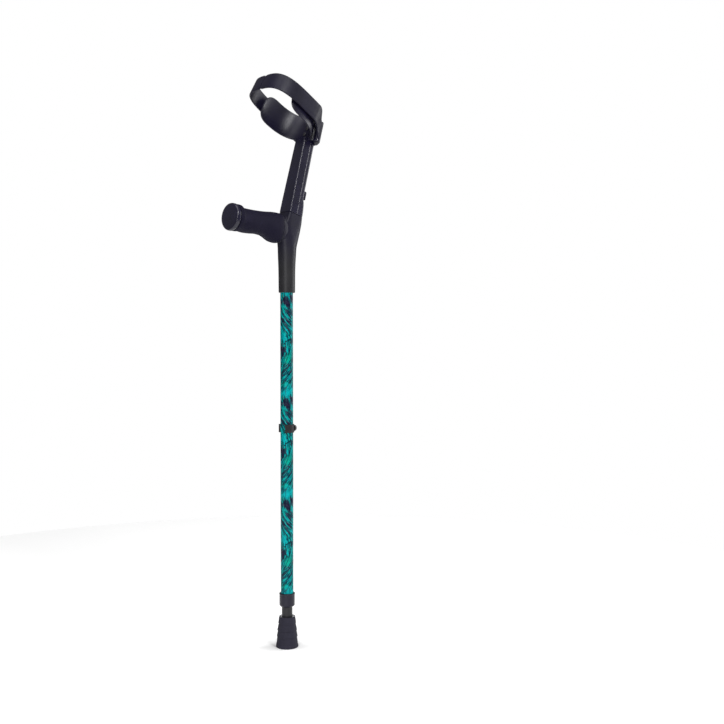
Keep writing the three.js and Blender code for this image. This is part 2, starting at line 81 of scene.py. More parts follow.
def make(name, shape, place=UPRIGHT, sharp=38):
    """An object out of points in millimetres and their faces."""
    points, faces = shape
    mesh = bpy.data.meshes.new(name)
    mesh.from_pydata([(place @ Vector(p)) * MM for p in points], [], faces)
    piece = bpy.data.objects.new(name, mesh)
    SCENE_ROOT.objects.link(piece)
    return finish_mesh(piece, sharp)


def loft(rings, wrap=False):
    """A closed body through rings of points, wrapped round or with a face at each end."""
    count = len(rings[0])
    points = [p for ring in rings for p in ring]
    faces = []
    for i in range(len(rings) if wrap else len(rings) - 1):
        a, b = i * count, ((i + 1) % len(rings)) * count
        faces += [(a + j, a + (j + 1) % count, b + (j + 1) % count, b + j) for j in range(count)]
    if not wrap:
        faces.append(tuple(reversed(range(count))))
        faces.append(tuple(range(len(points) - count, len(points))))
    return points, faces


def together(*shapes):
    points, faces = [], []
    for some, many in shapes:
        faces += [tuple(i + len(points) for i in face) for face in many]
        points += some
    return points, faces


def moved(shape, place):
    return [place @ Vector(p) for p in shape[0]], shape[1]


def fillet(profile, steps=5):
    """Profile points with an optional third number, the size of the corner's rounding."""
    out = []
    for i, point in enumerate(profile):
        here = Vector(point[:2])
        size = point[2] if len(point) > 2 else 0
        if not size:
            out.append(here)
            continue
        before = (Vector(profile[i - 1][:2]) - here).normalized() * size
        after = (Vector(profile[(i + 1) % len(profile)][:2]) - here).normalized() * size
        for k in range(steps + 1):
            t = k / steps
            out.append(here + before * (1 - t) ** 2 + after * t * t)
    return out


def turned(profile, facets=128, wrap=False):
    """A profile of radii and heights turned round the Z axis."""
    rings = []
    for r, z in fillet(profile):
        turns = [2 * math.pi * i / facets for i in range(facets)]
        rings.append([Vector((r * math.cos(t), r * math.sin(t), z)) for t in turns])
    return loft(rings, wrap)


def superellipse(angle, a, b, power):
    c, s = math.cos(angle), math.sin(angle)
    return (a * math.copysign(abs(c) ** (2 / power), c), b * math.copysign(abs(s) ** (2 / power), s))


def section(z, half_width, back, front, power, facets=96):
    """A superellipse ring at a height, between a back and a front."""
    middle, depth = (front + back) / 2, (front - back) / 2
    ring = [superellipse(2 * math.pi * i / facets, half_width, depth, power) for i in range(facets)]
    return [Vector((x, y + middle, z)) for x, y in ring]


def eased(levels, steps):
    """Rows of numbers between the given ones, along smooth curves that never overshoot."""
    n = len(levels)
    slopes = []
    for i in range(n):
        row = []
        for k in range(1, len(levels[0])):
            left = (levels[i][k] - levels[i - 1][k]) / (levels[i][0] - levels[i - 1][0]) if i else None
            right = (levels[i + 1][k] - levels[i][k]) / (levels[i + 1][0] - levels[i][0]) if i < n - 1 else None
            if left is None or right is None:
                row.append(right if left is None else left)
            else:
                row.append(0 if left * right <= 0 else 2 * left * right / (left + right))
        slopes.append(row)
    out = []
    for i in range(n - 1):
        gap = levels[i + 1][0] - levels[i][0]
        for s in range(steps):
            t = s / steps
            row = [levels[i][0] + gap * t]
            for k in range(1, len(levels[0])):
                a, b = levels[i][k], levels[i + 1][k]
                m, q = slopes[i][k - 1] * gap, slopes[i + 1][k - 1] * gap
                row.append((2 * t**3 - 3 * t**2 + 1) * a + (t**3 - 2 * t**2 + t) * m
                           + (3 * t**2 - 2 * t**3) * b + (t**3 - t**2) * q)
            out.append(row)
    return out + [list(levels[-1])]


def apply_modifiers(piece):
    graph = bpy.context.evaluated_depsgraph_get()
    mesh = bpy.data.meshes.new_from_object(piece.evaluated_get(graph))
    piece.modifiers.clear()
    piece.data = mesh
    return piece


def carve(piece, shape, place=UPRIGHT, sharp=38):
    """Cuts a shape out of a piece."""
    tool = make("tool", shape, place)
    cut = piece.modifiers.new("cut", "BOOLEAN")
    cut.operation, cut.solver, cut.object = "DIFFERENCE", "MANIFOLD", tool
    apply_modifiers(piece)
    bpy.data.objects.remove(tool)
    return finish_mesh(piece, sharp)


def round_edges(piece, width, segments=3, angle=35, sharp=38):
    bevel = piece.modifiers.new("round", "BEVEL")
    bevel.width, bevel.segments, bevel.limit_method = width * MM, segments, "ANGLE"
    bevel.angle_limit = math.radians(angle)
    apply_modifiers(piece)
    return finish_mesh(piece, sharp)


def rod(r, low, high):
    return turned([(r, low), (r, high)], FACETS)


def along_y(shape):
    """Turns a Z shape to point along +Y."""
    return moved(shape, Matrix.Rotation(math.radians(-90), 4, "X"))


def prism(outline, low, high):
    """An outline in X and Y, drawn up between two heights."""
    return loft([[Vector((x, y, z)) for x, y in outline] for z in (low, high)])


def rectangle(x_low, x_high, y_low, y_high):
    return (x_low, y_low), (x_high, y_low), (x_high, y_high), (x_low, y_high)


def same(shape):
    return shape


def mirrored(shape):
    """The same shape on the other side of the crutch."""
    return [Vector((-p.x, p.y, p.z)) for p in shape[0]], shape[1]


# ---------- material helpers ----------

class Paint:
    """A node material, written as a chain of calls that each return an output socket."""

    def __init__(self, name):
        self.material = bpy.data.materials.new(name)
        self.material.use_nodes = True
        self.tree = self.material.node_tree
        self.shader = self.tree.nodes["Principled BSDF"]
        self.place = self.tree.nodes.new("ShaderNodeTexCoord").outputs["Object"]

    def put(self, socket, value):
        if isinstance(value, bpy.types.NodeSocket):
            self.tree.links.new(value, socket)
        elif isinstance(value, (tuple, list)) and len(value) == 3 and socket.type == "RGBA":
            socket.default_value = (*value, 1)
        else:
            socket.default_value = value

    def add(self, kind, output, settings=(), **inputs):
        node = self.tree.nodes.new(kind)
        for key, value in dict(settings).items():
            setattr(node, key, value)
        for key, value in inputs.items():
            name = key.replace("_", " ")
            socket = node.inputs[int(key[1:])] if key[0] == "i" and key[1:].isdigit() else node.inputs[name]
            self.put(socket, value)
        return node.outputs[output]

    def math(self, operation, a, b=0.0, c=0.0):
        return self.add("ShaderNodeMath", 0, {"operation": operation}, i0=a, i1=b, i2=c)

    def noise(self, scale, detail=2.0, vector=None, distortion=0.0, roughness=0.5, stretch=None):
        vector = vector or self.place
        if stretch:
            vector = self.add("ShaderNodeMapping", 0, Vector=vector, Scale=stretch)
        return self.add("ShaderNodeTexNoise", 0, Vector=vector, Scale=scale, Detail=detail,
                        Roughness=roughness, Distortion=distortion)

    def scaled(self, value, low, high, to_low=0.0, to_high=1.0, smooth=False):
        kind = "SMOOTHSTEP" if smooth else "LINEAR"
        return self.add("ShaderNodeMapRange", 0, {"interpolation_type": kind},
                        i0=value, i1=low, i2=high, i3=to_low, i4=to_high)

    def mix(self, share, a, b):
        return self.add("ShaderNodeMix", 2, {"data_type": "RGBA"}, i0=share, i6=a, i7=b)

    def ramp(self, value, stops):
        node = self.tree.nodes.new("ShaderNodeValToRGB")
        bar = node.color_ramp.elements
        while len(bar) < len(stops):
            bar.new(1)
        for element, (at, colour) in zip(bar, stops):
            element.position = at
            element.color = (*colour, 1)
        self.put(node.inputs[0], value)
        return node.outputs[0]

    def bump(self, height, strength, distance):
        return self.add("ShaderNodeBump", 0, Height=height, Strength=strength, Distance=distance)

    def finish(self, **inputs):
        for key, value in inputs.items():
            self.put(self.shader.inputs[key.replace("_", " ")], value)
        return self.material


def moulded(name, colour, roughness, grain=0.16, specular=0.3, lower=None):
    """Moulded plastic: a faint uneven tone, a fine grain and slightly polished patches. Lower is a pair of tones
    that take over towards the piece's lower end."""
    p = Paint(name)
    cloud = p.noise(28, 3)
    speck = p.noise(1400, 2)
    lighter = tuple(c * 1.28 for c in colour)
    darker = tuple(c * 0.8 for c in colour)
    tone = p.mix(p.scaled(cloud, 0.35, 0.65), darker, lighter)
    rubbed = p.scaled(p.noise(70, 4, distortion=0.6), 0.3, 0.7, roughness - 0.015, roughness + 0.02)
    tone = p.mix(p.scaled(speck, 0.3, 0.9, 0.0, 0.35), tone, lighter)
    if lower:
        height = p.add("ShaderNodeSeparateXYZ", 2, Vector=p.place)
        lower_tone = p.mix(p.scaled(cloud, 0.35, 0.65), lower[0], lower[1])
        tone = p.mix(p.scaled(height, 0.655, 0.712, smooth=True), lower_tone, tone)
    return p.finish(Base_Color=tone, Roughness=rubbed, Normal=p.bump(speck, grain, 0.0002),
                    Specular_IOR_Level=specular)


def rubber(name, colour, roughness=0.72, grain=0.4, specular=0.25):
    """Rubber: matt, with a coarser skin and a pale dusty bloom."""
    p = Paint(name)
    skin = p.noise(900, 5)
    dust = p.scaled(p.noise(46, 6, distortion=0.4), 0.52, 0.78, 0.0, 0.5)
    tone = p.mix(p.scaled(skin, 0.3, 0.7), tuple(c * 0.85 for c in colour), tuple(c * 1.15 for c in colour))
    bloom = tuple(c * 1.8 + 0.004 for c in colour)
    return p.finish(Base_Color=p.mix(dust, tone, bloom),
                    Roughness=p.scaled(skin, 0.3, 0.7, roughness - 0.08, roughness + 0.08),
                    Normal=p.bump(skin, grain, 0.0003), Specular_IOR_Level=specular)


def ferrule_rubber(name, colour):
    """The ferrule's rubber, with a painted highlight inside its funnel-shaped mouth, coloured pale where the funnel
    catches the light.
    """
    p = Paint(name)
    skin = p.noise(900, 5)
    dust = p.scaled(p.noise(46, 6, distortion=0.4), 0.52, 0.78, 0.0, 0.4)
    tone = p.mix(p.scaled(skin, 0.3, 0.7), tuple(c * 0.85 for c in colour), tuple(c * 1.15 for c in colour))
    tone = p.mix(dust, tone, tuple(c * 1.7 + 0.003 for c in colour))
    x, y, z = [p.add("ShaderNodeSeparateXYZ", i, Vector=p.place) for i in range(3)]
    out = p.math("SQRT", p.math("ADD", p.math("MULTIPLY", x, x), p.math("MULTIPLY", y, y)))
    # Painted highlight: the funnel inside the mouth is coloured pale grey to stand in for the light it catches from
    # above.
    mouth = p.math("MULTIPLY", p.scaled(out, 0.0132, 0.0138, 1.0, 0.0), p.scaled(z, 0.0494, 0.0502))
    tone = p.mix(mouth, tone, (0.62, 0.62, 0.64))
    return p.finish(Base_Color=tone, Roughness=p.scaled(skin, 0.3, 0.7, 0.64, 0.8),
                    Normal=p.bump(skin, 0.4, 0.0003), Specular_IOR_Level=0.25)


def coated_metal(name, colour):
    """Black coated tube: an eggshell coat with drawing lines along it and light scratches."""
    p = Paint(name)
    lines = p.noise(260, 3, stretch=(9, 9, 0.25))
    peel = p.noise(700, 2)
    tone = p.mix(p.scaled(lines, 0.35, 0.75), colour, tuple(c * 1.5 for c in colour))
    return p.finish(Base_Color=tone, Roughness=p.scaled(lines, 0.3, 0.7, 0.36, 0.5), Metallic=0.0,
                    Normal=p.bump(peel, 0.12, 0.0002), Specular_IOR_Level=0.35)


def bright_steel(name):
    p = Paint(name)
    lines = p.noise(900, 4, stretch=(1, 1, 6))
    tone = p.mix(p.scaled(lines, 0.3, 0.7), (0.42, 0.43, 0.45), (0.68, 0.69, 0.71))
    return p.finish(Base_Color=tone, Metallic=1.0, Roughness=p.scaled(lines, 0.3, 0.7, 0.2, 0.38),
                    Normal=p.bump(lines, 0.08, 0.0001))


REPEAT = 0.1762  # the print's repeat along the tube, in metres
FACING = math.radians(-44.5)  # the side of the tube that the marks are placed across
LEAN_AT = 0.0394  # where in a repeat the strokes stop leaning one way, in metres

# The print's marks: across the tube and up it from a repeat's start, in millimetres, then length, width,
# tilt in degrees and strength.
DARK_MARKS = [
    (1.5, 72.8, 23, 8.4, 110, 1.0), (10.5, 80.6, 16, 6, 105, 1.0), (-7.7, 75.4, 10, 4, 100, 0.8),
    (-8.8, 165, 20, 5.2, 95, 1.0), (-2.8, 170.3, 11, 4.5, 60, 0.95), (-0.6, 163, 9, 2.6, 100, 0.85),
    (1.1, 135.5, 27, 3.2, 50, 0.9), (-3.3, 138, 15, 2.2, 45, 0.8), (5.7, 128.5, 16, 2.4, 48, 0.8),
    (-7.8, 125, 8, 4, 80, 0.8), (-1.5, 114.6, 16, 1.7, 42, 0.8), (6.8, 110, 11, 2, 50, 0.7),
    (-5.2, 98, 13, 1.2, 45, 0.8), (1.1, 30.7, 25, 2.8, 130, 0.85), (5.3, 37.7, 16, 3.4, 133, 0.9),
    (-3.2, 25.5, 18, 1.7, 131, 0.7), (-7.2, 42.9, 12, 5, 130, 0.9), (-5, 51.9, 15, 2, 110, 0.8),
    (3.8, 52.8, 18, 3.2, 118, 0.85), (10, 57, 12, 3.2, 115, 0.75), (10.5, 4.6, 12, 2.5, 100, 0.65),
    (12, 149, 16, 3.6, 70, 0.75), (20, 120, 20, 4.5, 60, 0.95), (-17, 60, 18, 5, 60, 0.9),
    (-22, 110, 18, 5, 120, 0.95), (24, 30, 22, 6, 130, 0.95), (-28, 20, 22, 6, 75, 0.95),
    (31, 90, 20, 5, 130, 0.9), (-18, 150, 15, 4.5, 40, 0.9), (27, 165, 16, 4, 50, 0.85),
]
BRIGHT_MARKS = [
    (-4, 11.5, 22, 8, 110, 0.8), (0.5, 93, 17, 18, 90, 0.85), (8, 98, 12, 8, 60, 0.6), (18, 70, 20, 10, 60, 0.7),
    (-20, 85, 22, 9, 100, 0.7), (-30, 140, 20, 10, 120, 0.7), (5, 117, 9, 4, 45, 0.6),
]
GREEN_MARKS = [
    (3, 152, 17, 9, 60, 0.85), (-6, 108, 12, 5, 50, 0.5), (-26, 60, 18, 9, 70, 0.7), (28, 130, 18, 8, 60, 0.7),
]
LOOP = (2.9, 1.1, 15, 7.6, 62, 0.95)


def printed_tube(name):
    """A marbled print: turquoise drifts, dark strokes, a loop, large navy blotches and odd warm flecks."""
    p = Paint(name)
    x, y, z = [p.add("ShaderNodeSeparateXYZ", i, Vector=p.place) for i in range(3)]
    turn = p.math("ARCTAN2", y, x)
    rise = p.math("MULTIPLY", z, 2 * math.pi / REPEAT)
    # The strokes lean one way and then the other along each repeat.
    lean = p.math("MULTIPLY", p.math("SINE", p.math("SUBTRACT", rise, 2 * math.pi * LEAN_AT / REPEAT)), 2.1)
    leaning = p.math("ADD", turn, lean)

    def swirl(angle, across, up, detail, shift=0.0, roughness=0.55):
        """Noise that closes round the tube and repeats up it, drawn out along the strokes."""
        vector = p.add("ShaderNodeCombineXYZ", 0,
                       X=p.math("MULTIPLY_ADD", p.math("COSINE", angle), across, shift),
                       Y=p.math("MULTIPLY", p.math("SINE", angle), across),
                       Z=p.math("MULTIPLY", p.math("COSINE", rise), up))
        return p.add("ShaderNodeTexNoise", 0, {"noise_dimensions": "4D"}, Vector=vector,
                     W=p.math("MULTIPLY", p.math("SINE", rise), up), Scale=1.0, Detail=detail, Roughness=roughness)

    drift = swirl(turn, 2.0, 5.0, 2, 5)
    sway = swirl(turn, 2.2, 5.5, 2, 11)
    fine = swirl(leaning, 5.5, 5.0, 2, 3)

    # Flat coordinates on the tube, in millimetres, pushed about by the noise.
    across = p.math("WRAP", p.math("SUBTRACT", turn, FACING), math.pi, -math.pi)
    flat_z = p.math("WRAP", p.math("MULTIPLY", z, 1000.0), REPEAT * 1000, 0.0)
    pushed_x = p.math("MULTIPLY_ADD", p.math("SUBTRACT", sway, 0.5), 8.0, p.math("MULTIPLY", across, TUBE_R))
    pushed_z = p.math("MULTIPLY_ADD", p.math("SUBTRACT", drift, 0.5), 10.0, flat_z)
    warped = p.add("ShaderNodeCombineXYZ", 0, X=p.math("MULTIPLY_ADD", p.math("SUBTRACT", fine, 0.5), 9.0, pushed_x),
                   Y=p.math("MULTIPLY_ADD", p.math("SUBTRACT", fine, 0.5), -7.0, pushed_z))

    def reach(x_at, z_at, length, width, tilt):
        local = p.add("ShaderNodeMapping", 0, {"vector_type": "TEXTURE"}, Vector=warped, Location=(x_at, z_at, 0),
                      Rotation=(0, 0, math.radians(tilt)), Scale=(length * 0.6, width * 0.68, 1))
        return p.add("ShaderNodeVectorMath", "Value", {"operation": "LENGTH"}, i0=local)

    def marks(rows, soft_from, soft_to):
        total = None
        for *shape, strength in rows:
            outside = p.scaled(reach(*shape), soft_from, soft_to, 0.0, 1.0, smooth=True)
            mark = p.math("MULTIPLY", p.math("SUBTRACT", 1.0, outside), strength)
            total = mark if total is None else p.math("MAXIMUM", total, mark)
        return total

    ground = p.ramp(swirl(leaning, 3.9, 3.0, 2, 21), [
        (0.34, (0.000, 0.010, 0.028)), (0.42, (0.000, 0.045, 0.075)), (0.47, (0.000, 0.140, 0.165)),
        (0.51, (0.000, 0.270, 0.260)), (0.57, (0.000, 0.350, 0.300)), (0.66, (0.000, 0.360, 0.420)),
    ])
    colour = p.mix(marks(BRIGHT_MARKS, 0.3, 1.3), ground, (0.000, 0.375, 0.400))
    colour = p.mix(marks(GREEN_MARKS, 0.3, 1.3), colour, (0.000, 0.360, 0.255))
    # Drawn-out dark strokes and thin pen lines over the ground.
    stroke = p.scaled(swirl(leaning, 5.6, 2.6, 1, 55), 0.52, 0.64, 0.0, 0.9, smooth=True)
    colour = p.mix(stroke, colour, (0.000, 0.035, 0.050))
    level = p.math("MULTIPLY", swirl(leaning, 2.8, 2.6, 2, 33), 15.0)
    line = p.scaled(p.math("PINGPONG", level, 0.5), 0.0, 0.12, 0.95, 0.0)
    shown = p.scaled(swirl(turn, 2.0, 5.0, 2, 41), 0.40, 0.50)
    colour = p.mix(p.math("MULTIPLY", line, shown), colour, (0.000, 0.020, 0.030))
    *loop, loop_strength = LOOP
    off_loop = p.math("ABSOLUTE", p.math("SUBTRACT", reach(*loop), 1.0))
    colour = p.mix(p.scaled(off_loop, 0.12, 0.38, loop_strength, 0.0), colour, (0.000, 0.018, 0.030))

    dark = marks(DARK_MARKS, 0.62, 1.22)
    ink = p.ramp(swirl(turn, 3.0, 6.0, 3, 61), [
        (0.36, (0.003, 0.005, 0.020)), (0.50, (0.005, 0.010, 0.030)), (0.60, (0.024, 0.008, 0.034)),
        (0.70, (0.000, 0.036, 0.058)),
    ])
    colour = p.mix(p.math("MULTIPLY", dark, p.scaled(fine, 0.3, 0.5, 0.8, 1.0)), colour, ink)
    edge = p.math("MULTIPLY", p.scaled(dark, 0.1, 0.45), p.scaled(dark, 0.55, 0.95, 1.0, 0.0))
    warm = p.math("MULTIPLY", edge, p.scaled(swirl(turn, 4.0, 7.0, 3, 71), 0.55, 0.62, 0.0, 0.65))
    colour = p.mix(warm, colour, (0.120, 0.050, 0.100))
    olive = p.math("MULTIPLY", stroke, p.scaled(swirl(turn, 3.0, 6.5, 3, 79), 0.58, 0.66, 0.0, 0.6))
    colour = p.mix(olive, colour, (0.075, 0.080, 0.010))

    peel = p.noise(420, 2)
    return p.finish(Base_Color=colour, Roughness=p.scaled(peel, 0.3, 0.7, 0.3, 0.4),
                    Normal=p.bump(peel, 0.05, 0.0002), Specular_IOR_Level=0.07)


BLACK = moulded("black_plastic", (0.0068, 0.0056, 0.0195), 0.27, grain=0.02, specular=0.5)
BODY_BLACK = moulded("body_plastic", (0.0050, 0.0042, 0.0135), 0.46, specular=0.30,
                     lower=((0.0125, 0.0121, 0.0142), (0.0168, 0.0164, 0.0192)))
CUFF_BLACK = moulded("cuff_plastic", (0.0056, 0.0044, 0.0165), 0.36, grain=0.06, specular=0.42)
FLAP_BLACK = moulded("flap_plastic", (0.0052, 0.0042, 0.0155), 0.46, grain=0.06, specular=0.3)
COLLAR_BLACK = moulded("collar_plastic", (0.0046, 0.0038, 0.0130), 0.36, specular=0.35)
CLIP_BLACK = moulded("clip_plastic", (0.0140, 0.0122, 0.0145), 0.5, specular=0.25)
PIN_GREY = moulded("pin_plastic", (0.070, 0.068, 0.068), 0.5)
GRIP_BLACK = rubber("grip_rubber", (0.0060, 0.0048, 0.0160), 0.66, grain=0.2, specular=0.12)
TIP_RUBBER = ferrule_rubber("ferrule_rubber", (0.0160, 0.0150, 0.0270))
LEG_BLACK = coated_metal("leg_coating", (0.0105, 0.0100, 0.0120))
SCREW_BLACK = coated_metal("blackened_steel", (0.030, 0.029, 0.034))
PRINT = printed_tube("marbled_print")
STEEL = bright_steel("steel")


def piece(name, made, body, slot, material, *nodes):
    """Dresses a piece in its material, names it and its body, and lets it stand for its CAD nodes. Its slot argument
    is not used.
    """
    made.name = name
    made.data.materials.clear()
    made.data.materials.append(material)
    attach(made, body)
    if nodes:
        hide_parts(*nodes)
    return made


# ---------- the leg ----------

# The ferrule's steps: bottom, top, radius at the bottom and radius at the top.
TIERS = [(0.7, 4.9, 19.6, 19.3), (4.9, 18.9, 19.0, 17.2), (18.9, 29.6, 18.2, 16.2), (29.6, 42.2, 17.2, 14.8),
         (42.2, 53.2, 15.6, 14.1)]


def ferrule_shape():
    """The tread, the steps, the funnel-shaped mouth and the socket that the leg stands in."""
    profile = [(4, 1.2), (6.6, 1.2, 0.4), (7.2, 0, 0.3), (9.6, 0, 0.3), (10.2, 1.5, 0.3), (12, 1.5, 0.3),
               (12.6, 0, 0.3), (15, 0, 0.3), (15.6, 1.5, 0.3), (16.4, 1.5, 0.3), (17, 0, 0.3), (18.7, 0, 0.4)]
    for low, high, low_r, high_r in TIERS:
        profile += [(low_r, low + 0.25, 0.25), (high_r, high - 0.2, 0.15)]
    profile += [(13.9, 53.9, 0.2), (13.5, 53.7, 0.2), (9.85, 49.6, 0.4), (LEG_SLIDE_R, 49, 0.3),
                (LEG_SLIDE_R, 10), (4, 10)]
    return turned(profile, 144)


piece("ferrule_tip", make("ferrule_tip", ferrule_shape()), "leg", "ferrule_rubber", TIP_RUBBER, "ferrule")

leg_profile = [(LEG_BORE, LEG_FOOT), (LEG_R, LEG_FOOT, 0.3), (LEG_R, LEG_TOP, 0.3), (LEG_BORE, LEG_TOP)]
leg = make("leg_tube", turned(leg_profile, 96, wrap=True))
piece("leg_tube", leg, "leg", "leg_metal", LEG_BLACK, "inner_leg_tube")

collar = turned([(LEG_SLIDE_R, 71.5), (11.4, 71.5, 0.4), (13.4, 73.6, 0.6), (13.4, 92.2, 0.5), (13.8, 93, 0.5),
                 (13.8, 94.5, 0.6), (12.9, 95, 0.3), (11.3, 95, 0.3), (11.3, 76), (LEG_SLIDE_R, 76)],
                128, wrap=True)
piece("lower_collar_shell", make("collar", collar), "frame", "plastic", COLLAR_BLACK, "lower_collar")

# ---------- the printed tube and its clip ----------

PIN = placed((0, 0, CLIP_Z), CLIP_TURN, "Z") @ Matrix.Rotation(math.pi / 2, 4, "Y")

tube_profile = [(TUBE_BORE, TUBE_FOOT), (TUBE_R, TUBE_FOOT, 0.2), (TUBE_R, TUBE_TOP), (TUBE_BORE, TUBE_TOP)]
tube = make("tube", turned(tube_profile, wrap=True))
carve(tube, rod(3.2, 5, 15), PIN)
piece("printed_outer_tube", tube, "frame", "printed_tube", PRINT, "outer_tube")


def clip_outline():
    """A C round the tube, with a small turned-out ear at each end."""
    def polar(r, degrees):
        angle = math.radians(CLIP_TURN + degrees)
        return Vector((r * math.cos(angle), r * math.sin(angle)))

    outer = [polar(12.8, -118 + 236 * i / 72) for i in range(73)]
    inner = [polar(11.3, 121 - 242 * i / 72) for i in range(73)]
    corners = [(13.3, 123, 0.5), (15.3, 128, 0.8), (14.6, 132.5, 0.7), (12.4, 131, 0.5), (11.5, 126, 0.3)]
    ear = fillet([(*polar(r, turn), size) for r, turn, size in corners], 4)
    other = fillet([(*polar(r, -turn), size) for r, turn, size in reversed(corners)], 4)
    return outer + ear[4:-1] + inner + other[1:-4]


clip_body = prism(clip_outline(), CLIP_Z - CLIP_HALF_HEIGHT, CLIP_Z + CLIP_HALF_HEIGHT)
clip = round_edges(make("clip", clip_body), 0.45, 3, 60)
piece("height_clip_band", clip, "frame", "plastic", CLIP_BLACK, "height_clip")
boss = turned([(3.3, 12.7), (6.2, 12.7), (6.2, 14.1, 0.4), (3.3, 14.1, 0.3)], 64, wrap=True)
piece("height_clip_boss", make("boss", boss, PIN), "frame", "plastic", CLIP_BLACK)
pin = turned([(2.2, 6.4, 0.3), (2.9, 7.4, 0.3), (2.9, 14.4), (5.0, 14.4, 0.4), (5.2, 15.6, 0.5),
              (4.6, 17.4, 0.7), (2.6, 18.35, 0.9), (0.3, 18.5)], 64)
piece("height_pin_button", make("pin", pin, PIN), "height_pin", "plastic", PIN_GREY, "height_pin")

# ---------- the handle ----------

# The forearm section along its length: height, half width, back and front.
SLEEVE = [(17, 15.3, -12.2, 17.8), (26, 15.1, -12.4, 17.4), (42, 14.7, -12.7, 15), (48, 14.5, -12.8, 12.9),
          (66, 14.2, -12.8, 12.2), (120, 13.2, -12.8, 12.2), (183.5, 12, -12.8, 12.2)]


def sleeve_section(along, half_width, back, front):
    """A rounded box with a fine rib down each side face, towards the rear."""
    corner, rib, rib_half, rib_out = 3.6, 3.4, 0.7, 0.4
    half = [(0, back), (half_width, back, corner), (half_width, rib - rib_half, 0.3), (half_width + rib_out, rib, 0.4),
            (half_width, rib + rib_half, 0.3), (half_width, front, corner), (0, front)]
    right = fillet(half, 8)
    left = [Vector((-p.x, p.y)) for p in reversed(right[1:-1])]
    return [Vector((p.x, p.y, along)) for p in right + left]


def body_shape():
    """The neck up to the forearm section, and the grip's root, as two overlapping bodies."""
    levels = eased([(618.7, 13.6, -13.1, 14.2, 2), (619.7, 14.2, -13.7, 14.9, 2), (654, 14.5, -14.0, 15.2, 2),
                    (694, 15.8, -15.3, 17.6, 2), (710, 15.7, -15.9, 20.8, 2.4), (726, 15.5, -14.8, 23.6, 3.4),
                    (741, 15.5, -11.8, 24.7, 6)], 9)
    neck = [section(*row, facets=120) for row in levels]
    for along in (16.7, 24):
        ring = section(along, 15.5, -12.4, 18.0, 9, facets=120)
        neck.append([ARM @ p for p in ring])
    root = eased([(-6, 11, -20, 15, 2.2), (4, 13.6, -24, 19.2, 2.2), (11, 14.9, -26, 20.8, 2.2),
                  (17.7, 15.4, -26.7, 21.3, 2.2)], 6)
    return together(loft(neck), moved(loft([section(*row, facets=96) for row in root]), GRIP))


def handle_body():
    """The neck and the grip's root, melted into one moulding and cut off flat at the seam with the sleeve."""
    body = make("body", body_shape())
    remesh = body.modifiers.new("melt", "REMESH")
    remesh.mode, remesh.voxel_size = "VOXEL", 0.00062
    soften = body.modifiers.new("soften", "SMOOTH")
    soften.factor, soften.iterations = 0.5, 9
    apply_modifiers(body)
    bm = bmesh.new()
    bm.from_mesh(body.data)
    normal = ARM.to_3x3() @ Vector((0, 0, 1))
    at = ARM @ Vector((0, 0, 16.0)) * MM
    geometry = bm.verts[:] + bm.edges[:] + bm.faces[:]
    cut = bmesh.ops.bisect_plane(bm, geom=geometry, plane_co=at, plane_no=normal, clear_outer=True)
    edges = [e for e in cut["geom_cut"] if isinstance(e, bmesh.types.BMEdge)]
    lid = bmesh.ops.edgeloop_fill(bm, edges=edges)["faces"]
    bmesh.ops.recalc_face_normals(bm, faces=bm.faces)
    bmesh.ops.inset_region(bm, faces=lid, thickness=0.0008, depth=0.0007)
    bm.to_mesh(body.data)
    bm.free()
    return finish_mesh(body, 45)


piece("handle_moulding", handle_body(), "frame", "plastic", BODY_BLACK, "handle_body")


post_outline = rectangle(-POST_HALF, POST_HALF, -POST_HALF, POST_HALF)
post = make("post", prism(post_outline, POST_LOW, POST_HIGH), ARM)
for step in range(PEG_HOLES):
    carve(post, along_y(rod(PEG_HOLE_R, 2, 12)), ARM @ Matrix.Translation((0, 0, PEG_Z + PEG_STEP * step)))
piece("forearm_post", round_edges(post, 0.6), "frame", "plastic", BODY_BLACK)

# The grip along its length, and the flange behind the cap: height, half width, back and front.
GRIP_LEVELS = [(18, 15.3, -26.6, 21.2), (18.8, 16.6, -28, 21.9), (21, 17.9, -29.4, 22.3), (27, 18.8, -30, 22.3),
               (36, 19, -29, 22), (46, 19, -24.5, 20.8), (56, 19, -21.2, 19.6), (68, 19.3, -20.6, 18.8),
               (80, 19.8, -21.8, 18.3), (93, 20.2, -22.4, 18.2), (102, 20.5, -21.6, 18.6)]
FLANGE = [(104.9, 20.6, -21.3, 19.3), (105.5, 20.9, -21.4, 20.2), (106.2, 21.7, -21.8, 21.4),
          (107, 22.15, -22.2, 22.1), (108.6, 22.4, -22.4, 22.4), (111.8, 22.4, -22.4, 22.4),
          (113.3, 22.1, -22.1, 22.1), (114.1, 21.5, -21.5, 21.5), (114.3, 20.6, -20.6, 20.6)]
rings = [section(*row, 2.15) for row in eased(GRIP_LEVELS, 6) + [list(r) for r in FLANGE]]
piece("grip_sleeve_soft", make("grip", loft(rings), GRIP, 50), "frame", "grip_rubber", GRIP_BLACK, "grip_sleeve")

cap = turned([(20.2, 114.7), (21.2, 114.9, 0.4), (21.6, 115.8, 0.4), (22.9, 116.6, 0.6), (23, 118, 0.5),
              (23, 121.6, 1.6), (21.4, 123.6, 1.0), (20.2, 123.4, 0.5), (19, 123.75, 0.6), (0.5, 124)], 144)
piece("grip_cap_disc", make("cap", cap, GRIP), "frame", "plastic", BLACK, "grip_end_cap")

# ---------- the cuff's band shapes ----------

SHELL = {"half_width": 45.7, "half_depth": 55.2, "power": 2.3, "wall": 2.6, "lean_in": 4.4}
FLAP = {"half_width": 49.75, "half_depth": 67.6, "power": 3.3, "wall": 3.0, "lean_in": 0.0}
LEAF_START = math.radians(8)
# The leaf's outer face in the cuff's frame: x, y, low edge and high edge.
LEAF_COLUMNS = [(48.6, 28, 0, 30), (45.9, 35, 0, 27.5), (42.7, 40.6, -0.5, 21.5), (39.4, 46, -2, 17),
                (34.6, 54.5, -6, 15)]
